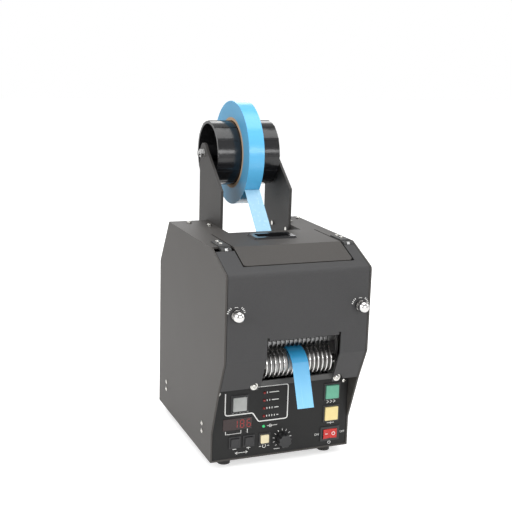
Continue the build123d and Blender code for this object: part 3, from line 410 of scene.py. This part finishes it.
# Lock knobs: turned and polished ball knobs in chrome on a black collar. Inked strokes on an arc
# over each show which way its cam goes.
knob_chrome, chrome_shader, chrome_place = finish("knob_chrome", (0.80, 0.79, 0.77), 0.1, 1.0)
chrome_haze = grain(chrome_place, 0.003)
collar = chrome_place.node("ShaderNodeSeparateXYZ", {}, {"Vector": chrome_place}, "Y") > -0.12945
feed(chrome_shader, "Base Color", tint(collar, (0.60, 0.59, 0.58), (0.015, 0.015, 0.015)))
feed(chrome_shader, "Metallic", 1 - collar)
feed(chrome_shader, "Roughness", 0.06 + chrome_haze * 0.1 + collar * 0.3)
dress(knob_chrome, "lock_knob_left", "lock_knob_right")
cover_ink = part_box("front_cover")[0][1] - ink_lift
for side, name in ((-1, "left"), (1, "right")):
    center = (side * 69.4, 182.0)
    strokes = [(arc(center, 8.0, 104, 76), 0.5)]
    for angle in (166, 154, 142, 130, 50, 38, 26, 14):
        ray = (math.cos(math.radians(angle)), math.sin(math.radians(angle)))
        strokes.append(([(center[0] + r * ray[0], center[1] + r * ray[1]) for r in (8.4, 10.2)], 0.75))
    ink_lines("lock_print_" + name, cover_ink, strokes, "cover")

# Screws and zinc-plated inner steel: nickel-bright pan heads outside, duller plate inside with
# the cloudy spangle of passivated zinc.
screw_nickel, nickel_shader, nickel_place = finish("screw_nickel", (0.58, 0.57, 0.54), 0.26, 1.0)
nickel_haze = grain(nickel_place, 0.0012)
feed(nickel_shader, "Roughness", 0.14 + nickel_haze * 0.18)
dress(screw_nickel, "housing_screws", "arm_screws", "guide_screws", "hinge_screws")


def pan_head(name, places, radius, body):
    """Domed heads with a cross recess on the CAD screws; places are (centre in mm, outward direction)."""
    heads = bmesh.new()
    rings, sectors = 9, 48
    dome, recess, arm, reach = radius * 0.34, radius * 0.2, radius * 0.15, radius * 0.62
    for center, outward in places:
        turn = Vector(outward).to_track_quat("Z", "X").to_matrix()
        grid = []
        for ring in range(rings + 1):
            r = radius * ring / rings
            row = []
            for sector in range(sectors):
                angle = 2 * math.pi * sector / sectors
                x, y = r * math.cos(angle), r * math.sin(angle)
                height = dome * (1 - (r / radius) ** 2.4)
                if r < reach and min(abs(x), abs(y)) < arm:
                    height -= recess
                row.append(heads.verts.new((Vector(center) + turn @ Vector((x, y, height))) * mm))
            grid.append(row)
        for inner, outer in zip(grid[1:], grid[2:]):
            for n in range(sectors):
                m = (n + 1) % sectors
                heads.faces.new((inner[n], outer[n], outer[m], inner[m]))
        heads.faces.new(grid[1])
        for vert in grid[0]:
            heads.verts.remove(vert)
    bmesh.ops.recalc_face_normals(heads, faces=heads.faces)
    mesh = bpy.data.meshes.new(name)
    heads.to_mesh(mesh)
    heads.free()
    mesh.materials.append(screw_nickel)
    group = bpy.data.objects.new(name, mesh)
    bpy.context.scene.collection.objects.link(group)
    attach(group, body)


front, top, flank, tape_x = -127.15, 241.5, 81.3, 7.2
side_heads = [
    ((side * (flank + 0.8), front + y, 39.5 + dz), (side, 0, 0))
    for side in (-1, 1) for y in (63.3, 198.0) for dz in (-4.5, 4.5)
]
top_places = ((-69.0, 180.6), (69.0, 180.6), (-50.5, 161.8), (50.5, 161.8))
top_heads = [((tape_x + x, front + y, top + 1.4), (0, 0, 1)) for x, y in top_places]
panel_heads = [((side * 73.6, -92.25, 86.0), (0, -1, 0)) for side in (-1, 1)]
guide_heads = [((tape_x + side * 48.0, front + 15.4 + 2.6 - 1.8, 97.7), (0, -1, 0)) for side in (-1, 1)]
leaf_heads = [((x, y, 243.6), (0, 0, 1)) for x in (-66.65, 73.0) for y in (-69.55, -58.75)]
pan_head("side_heads", side_heads, 2.6, "housing")
pan_head("top_heads", top_heads, 2.8, "housing")
pan_head("panel_heads", panel_heads, 2.4, "housing")
pan_head("guide_heads", guide_heads, 2.8, "housing")
pan_head("leaf_heads", leaf_heads, 2.2, "housing")

inner_zinc, zinc_shader, zinc_place = finish("inner_zinc", (0.5, 0.5, 0.49), 0.36, 1.0)
spangle = zinc_place.node("ShaderNodeTexVoronoi", {}, {"Vector": zinc_place, "Scale": 160.0}, "Color")
zinc_tone = spangle.node("ShaderNodeSeparateColor", {}, {"Color": spangle})
feed(zinc_shader, "Base Color", tint(zinc_tone, (0.42, 0.42, 0.42), (0.6, 0.6, 0.59)))
feed(zinc_shader, "Roughness", 0.3 + zinc_tone * 0.16)
dress(inner_zinc, "seam_strips", "frame_plate_left", "frame_plate_right", "hinge_pins", "cover_knuckles",
      "lock_catches", "axle", "axle_nuts")
dress(powder_coat("hinge_black", (0.03, 0.03, 0.03), (0.06, 0.06, 0.06)), "hinge_leaves")

# Reel hub and grip: gloss black mouldings, with a mould's faint waviness and fine handling
# scratches in the gloss.
gloss_black, gloss_shader, gloss_place = finish("gloss_black", (0.010, 0.010, 0.011), 0.12)
gloss_drift = grain(gloss_place, 0.012)
gloss_dust = grain(gloss_place, 0.0006, 4.0)
feed(gloss_shader, "Roughness", 0.08 + gloss_drift * 0.08 + gloss_dust * 0.1)
emboss(gloss_shader, gloss_drift, 0.00025)
dress(gloss_black, "reel_hub", "grip_cup")

# Black mouldings: housings of the buttons and switch, dial, inlet and sensor, with the fine
# spark-eroded grain of a mould. The inlet's blades are brass.
mold_black, mold_shader, mold_place = finish("mold_black", (0.014, 0.014, 0.015), 0.45)
mold_grain = grain(mold_place, 0.0003, 3.0)
feed(mold_shader, "Base Color", tint(mold_grain, (0.010, 0.010, 0.011), (0.022, 0.022, 0.023)))
feed(mold_shader, "Roughness", 0.36 + mold_grain * 0.2)
emboss(mold_shader, mold_grain, 0.00003)
dress(mold_black, "button_housings", "switch_frame", "dial_base", "dial_knob", "shorter_button", "longer_button")
inlet_black, inlet_shader, inlet_place = finish("inlet_black", (0.014, 0.014, 0.015), 0.4)
inlet_low, inlet_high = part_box("power_inlet")
inlet_middle_x, inlet_middle_z = ((inlet_low[n] + inlet_high[n]) / 2 for n in (0, 2))
inlet_x = inlet_place.node("ShaderNodeSeparateXYZ", {}, {"Vector": inlet_place}, "X") - inlet_middle_x
inlet_z = inlet_place.node("ShaderNodeSeparateXYZ", {}, {"Vector": inlet_place}, "Z") - inlet_middle_z
inlet_y = inlet_place.node("ShaderNodeSeparateXYZ", {}, {"Vector": inlet_place}, "Y")
near = inlet_x.node("ShaderNodeMath", {"operation": "ABSOLUTE"}, {0: inlet_x}) < 0.0092
close = inlet_z.node("ShaderNodeMath", {"operation": "ABSOLUTE"}, {0: inlet_z}) < 0.0055
blades = near * close * (inlet_y > inlet_low[1] + 0.0041)
feed(inlet_shader, "Base Color", tint(blades, (0.014, 0.014, 0.015), (0.62, 0.47, 0.24)))
feed(inlet_shader, "Metallic", blades)
feed(inlet_shader, "Roughness", 0.42 - blades * 0.16)
dress(inlet_black, "power_inlet")
sensor_red, sensor_shader, sensor_place = finish("sensor_red", (0.12, 0.006, 0.005), 0.3)
feed(sensor_shader, "Roughness", 0.24 + grain(sensor_place, 0.0006) * 0.14)
dress(sensor_red, "tape_sensor")


# Push buttons: moulded caps, satin on their crowns, each in its own colour, with a slight
# unevenness where fingers have polished the middle.
def cap_plastic(name, color, shade):
    """A coloured cap, darker where the moulding cools last."""
    material, shader, place = finish(name, color, 0.38)
    flow = grain(place, 0.005)
    feed(shader, "Base Color", tint(flow, shade, color))
    feed(shader, "Roughness", 0.3 + flow * 0.16)
    emboss(shader, grain(place, 0.0008), 0.00003)
    return material


dress(cap_plastic("cap_gray", (0.40, 0.41, 0.40), (0.30, 0.31, 0.30)), "select_button")
dress(cap_plastic("cap_green", (0.15, 0.46, 0.31), (0.10, 0.36, 0.24)), "advance_button")
dress(cap_plastic("cap_yellow", (0.84, 0.70, 0.33), (0.78, 0.62, 0.26)), "cut_button")
dress(cap_plastic("cap_cream", (0.78, 0.70, 0.47), (0.70, 0.61, 0.39)), "reset_button")

# Power rocker: glossy red with a raised bar and ring in white, which fill with light when it
# is on.
rocker_red, rocker_shader, rocker_place = finish("rocker_red", (0.52, 0.012, 0.008), 0.22)
rocker_flow = grain(rocker_place, 0.006)
feed(rocker_shader, "Base Color", tint(rocker_flow, (0.42, 0.008, 0.006), (0.62, 0.02, 0.012)))
feed(rocker_shader, "Roughness", 0.16 + rocker_flow * 0.1)
dress(rocker_red, "power_rocker")
rocker_low, rocker_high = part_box("power_rocker")
rocker_middle = ((rocker_low[0] + rocker_high[0]) / 2 / mm, (rocker_low[2] + rocker_high[2]) / 2 / mm)
for name, shape in (("bar", [(-5.6, 0), (-2.4, 0)]), ("ring", arc((4.2, 0), 1.7, 0, 360, 24))):
    mark = bmesh.new()
    points = [Vector((rocker_middle[0] + p[0], 0, rocker_middle[1] + p[1])) for p in shape]
    half = 0.35
    rails = []
    for n, point in enumerate(points):
        run = (points[min(n + 1, len(points) - 1)] - points[max(n - 1, 0)]).normalized()
        side_step = Vector((-run.z, 0, run.x)) * half
        rail = []
        for s in (-1, 1):
            spot = point + side_step * s
            crown = -89.25 - 3.0 - abs(spot.x - rocker_middle[0]) / 8.2 - 0.05
            rail.append(mark.verts.new((spot.x * mm, crown * mm, spot.z * mm)))
        rails.append(rail)
    for a, b in zip(rails, rails[1:]):
        mark.faces.new((a[0], b[0], b[1], a[1]))
    mesh = bpy.data.meshes.new("rocker_" + name)
    mark.to_mesh(mesh)
    mark.free()
    mesh.materials.append(white_ink)
    sign = bpy.data.objects.new("rocker_" + name, mesh)
    bpy.context.scene.collection.objects.link(sign)
    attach(sign, "rocker")

# Display and lamps: a smoked window with three lit bar digits behind it, four dim red lamps
# and one lit green one.
smoke, smoke_shader, smoke_place = finish("smoke", (0.020, 0.006, 0.006), 0.14)
feed(smoke_shader, "Roughness", 0.1 + grain(smoke_place, 0.002) * 0.08)
dress(smoke, "display_window")
lit_red, lit_shader, lit_place = finish("lit_red", (0.24, 0.012, 0.010), 0.3, Emission_Strength=0.3)
lit_shader.inputs["Emission Color"].default_value = (0.5, 0.015, 0.012, 1)
feed(lit_shader, "Roughness", 0.25 + grain(lit_place, 0.001) * 0.1)
bars = {
    "top": ((0, 2), (1, 2)), "middle": ((0, 1), (1, 1)), "bottom": ((0, 0), (1, 0)),
    "upper_left": ((0, 1), (0, 2)), "upper_right": ((1, 1), (1, 2)),
    "lower_left": ((0, 0), (0, 1)), "lower_right": ((1, 0), (1, 1)),
}
shown = (
    ("upper_right", "lower_right"),
    ("top", "upper_left", "upper_right", "middle", "lower_left", "bottom", "lower_right"),
    ("top", "upper_left", "middle", "lower_left", "bottom", "lower_right"),
)
digit_width, digit_rise, digit_pitch, digit_left, digit_base = 4.0, 4.2, 7.6, -55.6, 45.5
digit_strokes = []
for n, lit in enumerate(shown):
    for bar in lit:
        (x0, z0), (x1, z1) = bars[bar]
        gap_x, gap_z = 0.45 * (x1 - x0), 0.45 * (z1 - z0)
        left = digit_left + n * digit_pitch
        digit_strokes.append((
            [(left + x0 * digit_width + gap_x, digit_base + z0 * digit_rise + gap_z),
             (left + x1 * digit_width - gap_x, digit_base + z1 * digit_rise - gap_z)], 0.65,
        ))
display_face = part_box("display_window")[0][1]
ink_lines("display_digits", display_face - ink_lift, digit_strokes, "housing", lit_red)
lamp_red, lamp_shader, lamp_place = finish("lamp_red", (0.20, 0.010, 0.010), 0.16)
feed(lamp_shader, "Base Color", tint(grain(lamp_place, 0.001), (0.14, 0.006, 0.006), (0.26, 0.016, 0.014)))
dress(lamp_red, "mode_lamps")
lamp_green, green_shader, green_place = finish("lamp_green", (0.02, 0.30, 0.10), 0.16, Emission_Strength=0.8)
green_shader.inputs["Emission Color"].default_value = (0.02, 0.42, 0.12, 1)
feed(green_shader, "Base Color", tint(grain(green_place, 0.001), (0.02, 0.24, 0.08), (0.04, 0.38, 0.14)))
dress(lamp_green, "memory_lamp")

# Circuit boards: green lacquer over copper, with black parts standing on it. They sit behind
# the panel and on the tray.
board_green, board_shader, board_place = finish("board_green", (0.02, 0.16, 0.07), 0.35)
board_x = board_place.node("ShaderNodeSeparateXYZ", {}, {"Vector": board_place}, "X")
track_run = board_x * 900.0
tracks = track_run.node("ShaderNodeMath", {"operation": "PINGPONG"}, {0: track_run, 1: 1.0})
board_tone = grain(board_place, 0.004)
copper = (tracks > 0.6) * (board_tone > 0.52)
feed(board_shader, "Base Color", tint(copper, (0.015, 0.13, 0.055), (0.04, 0.26, 0.12)))
feed(board_shader, "Roughness", 0.28 + board_tone * 0.12)
dress(board_green, "control_board", "power_supply")

# Tape: sky-blue film on a paperboard core. The roll's flat sides show its winding as fine
# rings, and its outside and the strip shine.
film_blue, film_shader, film_place = finish("film_blue", (0.17, 0.50, 0.72), 0.3)
roll_low, roll_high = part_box("tape_roll")
reel_y = (roll_low[1] + roll_high[1]) / 2
reel_z = (roll_low[2] + roll_high[2]) / 2
roll_radius = (roll_high[2] - roll_low[2]) / 2
reel_middle = (0, reel_y, reel_z)
from_axle = film_place.node("ShaderNodeVectorMath", {"operation": "SUBTRACT"}, {0: film_place, 1: reel_middle})
in_disc = from_axle.node("ShaderNodeVectorMath", {"operation": "MULTIPLY"}, {0: from_axle, 1: (0, 1, 1)})
ring = in_disc.node("ShaderNodeVectorMath", {"operation": "LENGTH"}, {0: in_disc}, "Value")
winding_run = {"W": ring * 1500.0, "Scale": 1.0, "Detail": 3.0}
windings = ring.node("ShaderNodeTexNoise", {"noise_dimensions": "1D"}, winding_run)
side_face = ring < roll_radius - 0.0004
film_side = tint(windings, (0.06, 0.25, 0.45), (0.11, 0.36, 0.56))
feed(film_shader, "Base Color", tint(side_face, (0.10, 0.43, 0.72), film_side))
feed(film_shader, "Roughness", 0.22 + side_face * (0.2 + windings * 0.12))
emboss(film_shader, windings * side_face, 0.00008)
dress(film_blue, "tape_roll")
strip_blue, strip_shader, strip_place = finish("strip_blue", (0.10, 0.45, 0.78), 0.22)
# The strip's blue is lighter low down and darker high up. This is painted light on its lower part, which turns to
# face upward, and painted shade on its upper part, behind the cover.
strip_z = strip_place.node("ShaderNodeSeparateXYZ", {}, {"Vector": strip_place}, "Z")
strip_light_shade_fade = strip_z.node("ShaderNodeMapRange", {"interpolation_type": "SMOOTHSTEP"},
                          {"Value": strip_z, "From Min": 0.079, "From Max": 0.137})
strip_lines = strip_place.node("ShaderNodeMapping", {}, {"Vector": strip_place, "Scale": (700, 6, 6)})
strip_streaks = strip_lines.node("ShaderNodeTexNoise", {}, {"Vector": strip_lines, "Scale": 1.0, "Detail": 2.0})
strip_painted_light_tone = tint(strip_light_shade_fade, (0.14, 0.44, 0.68), (0.025, 0.26, 0.50))
feed(strip_shader, "Base Color", strip_painted_light_tone)
feed(strip_shader, "Roughness", 0.18 + strip_streaks * 0.14)
dress(strip_blue, "tape_tail")
# The run's blue is a paler, greyer copy of the film's blue: painted light on the run.
lit_run_blue, run_shader, run_place = finish("lit_run_blue", (0.25, 0.46, 0.62), 0.26)
run_haze = grain(run_place, 0.004)
feed(run_shader, "Base Color", tint(run_haze, (0.22, 0.44, 0.61), (0.28, 0.49, 0.64)))
feed(run_shader, "Roughness", 0.2 + run_haze * 0.12)
dress(lit_run_blue, "tape_run")
paperboard, core_shader, core_place = finish("paperboard", (0.42, 0.28, 0.17), 0.85)
core_fiber = grain(core_place, 0.0012, 4.0)
feed(core_shader, "Base Color", tint(core_fiber, (0.34, 0.22, 0.13), (0.52, 0.37, 0.24)))
emboss(core_shader, core_fiber, 0.00012)
dress(paperboard, "tape_core")

# Feed rollers and blades: bright turned steel discs on a sleeve round a shaft, with concentric
# tool marks that stretch their highlights. The rings that press from above are duller.
disc_steel, disc_shader, disc_place = finish("disc_steel", (0.72, 0.71, 0.70), 0.24, 1.0)
roller_low, roller_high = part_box("feed_roller")
shaft_y = (roller_low[1] + roller_high[1]) / 2
shaft_z = (roller_low[2] + roller_high[2]) / 2
shaft_middle = (0, shaft_y, shaft_z)
off_shaft = disc_place.node("ShaderNodeVectorMath", {"operation": "SUBTRACT"}, {0: disc_place, 1: shaft_middle})
disc_plane = off_shaft.node("ShaderNodeVectorMath", {"operation": "MULTIPLY"}, {0: off_shaft, 1: (0, 1, 1)})
disc_ring = disc_plane.node("ShaderNodeVectorMath", {"operation": "LENGTH"}, {0: disc_plane}, "Value")
mark_run = {"W": disc_ring * 3000.0, "Scale": 1.0, "Detail": 2.0}
tool_marks = disc_ring.node("ShaderNodeTexNoise", {"noise_dimensions": "1D"}, mark_run)
feed(disc_shader, "Base Color", tint(tool_marks, (0.60, 0.59, 0.58), (0.80, 0.79, 0.77)))
feed(disc_shader, "Roughness", 0.18 + tool_marks * 0.16)
emboss(disc_shader, tool_marks, 0.00002)
dress(disc_steel, "feed_roller")
ring_steel, ring_shader, ring_place = finish("ring_steel", (0.22, 0.22, 0.22), 0.44, 1.0)
feed(ring_shader, "Roughness", 0.38 + grain(ring_place, 0.002) * 0.14)
dress(ring_steel, "press_roller")
sleeve_steel, sleeve_shader, sleeve_place = finish("sleeve_steel", (0.34, 0.34, 0.34), 0.4, 1.0)
feed(sleeve_shader, "Roughness", 0.32 + grain(sleeve_place, 0.0012) * 0.2)
sleeve_radius, sleeve_half = 12.2, 36.7
sleeve_shape = bmesh.new()
bmesh.ops.create_cone(
    sleeve_shape, cap_ends=True, segments=96, radius1=sleeve_radius * mm, radius2=sleeve_radius * mm,
    depth=2 * sleeve_half * mm,
    matrix=Matrix.Translation((tape_x * mm, shaft_y, shaft_z)) @ Matrix.Rotation(math.radians(90), 4, "Y"),
)
sleeve_mesh = bpy.data.meshes.new("roller_sleeve")
sleeve_shape.to_mesh(sleeve_mesh)
sleeve_shape.free()
sleeve_mesh.materials.append(sleeve_steel)
for polygon in sleeve_mesh.polygons:
    polygon.use_smooth = len(polygon.vertices) == 4
sleeve = bpy.data.objects.new("roller_sleeve", sleeve_mesh)
bpy.context.scene.collection.objects.link(sleeve)
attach(sleeve, "feed")
blade_steel, blade_shader, blade_place = finish("blade_steel", (0.62, 0.62, 0.62), 0.28, 1.0)
blade_lines = blade_place.node("ShaderNodeMapping", {}, {"Vector": blade_place, "Scale": (12, 900, 900)})
blade_grind = blade_lines.node("ShaderNodeTexNoise", {}, {"Vector": blade_lines, "Scale": 1.0, "Detail": 2.0})
feed(blade_shader, "Roughness", 0.2 + blade_grind * 0.2)
dress(blade_steel, "fixed_blade", "cutter_blade")

# Gears and motors: white nylon gears outside the left frame plate, and plated steel motor cans.
gear_nylon, nylon_shader, nylon_place = finish("gear_nylon", (0.70, 0.68, 0.60), 0.42)
nylon_flow = grain(nylon_place, 0.004)
feed(nylon_shader, "Base Color", tint(nylon_flow, (0.62, 0.60, 0.52), (0.76, 0.74, 0.66)))
feed(nylon_shader, "Roughness", 0.36 + nylon_flow * 0.12)
dress(gear_nylon, "feed_gear", "press_gear", "motor_pinion")
motor_can, can_shader, can_place = finish("motor_can", (0.30, 0.30, 0.31), 0.34, 1.0)
can_haze = grain(can_place, 0.002)
feed(can_shader, "Roughness", 0.28 + can_haze * 0.16)
dress(motor_can, "feed_motor", "cutter_motor")

# Feet: black rubber, matte, with dust in the grain near the bench.
foot_rubber, foot_shader, foot_place = finish("foot_rubber", (0.016, 0.016, 0.016), 0.75)
foot_grain = grain(foot_place, 0.0008, 3.0)
foot_z = foot_place.node("ShaderNodeSeparateXYZ", {}, {"Vector": foot_place}, "Z")
dust_height = 1 - foot_z * 220.0
foot_dust = dust_height.node("ShaderNodeClamp", {}, {"Value": dust_height}) * foot_grain
feed(foot_shader, "Base Color", tint(foot_dust, (0.014, 0.014, 0.014), (0.09, 0.085, 0.08)))
feed(foot_shader, "Roughness", 0.66 + foot_grain * 0.2)
emboss(foot_shader, foot_grain, 0.00008)
dress(foot_rubber, "rubber_feet")
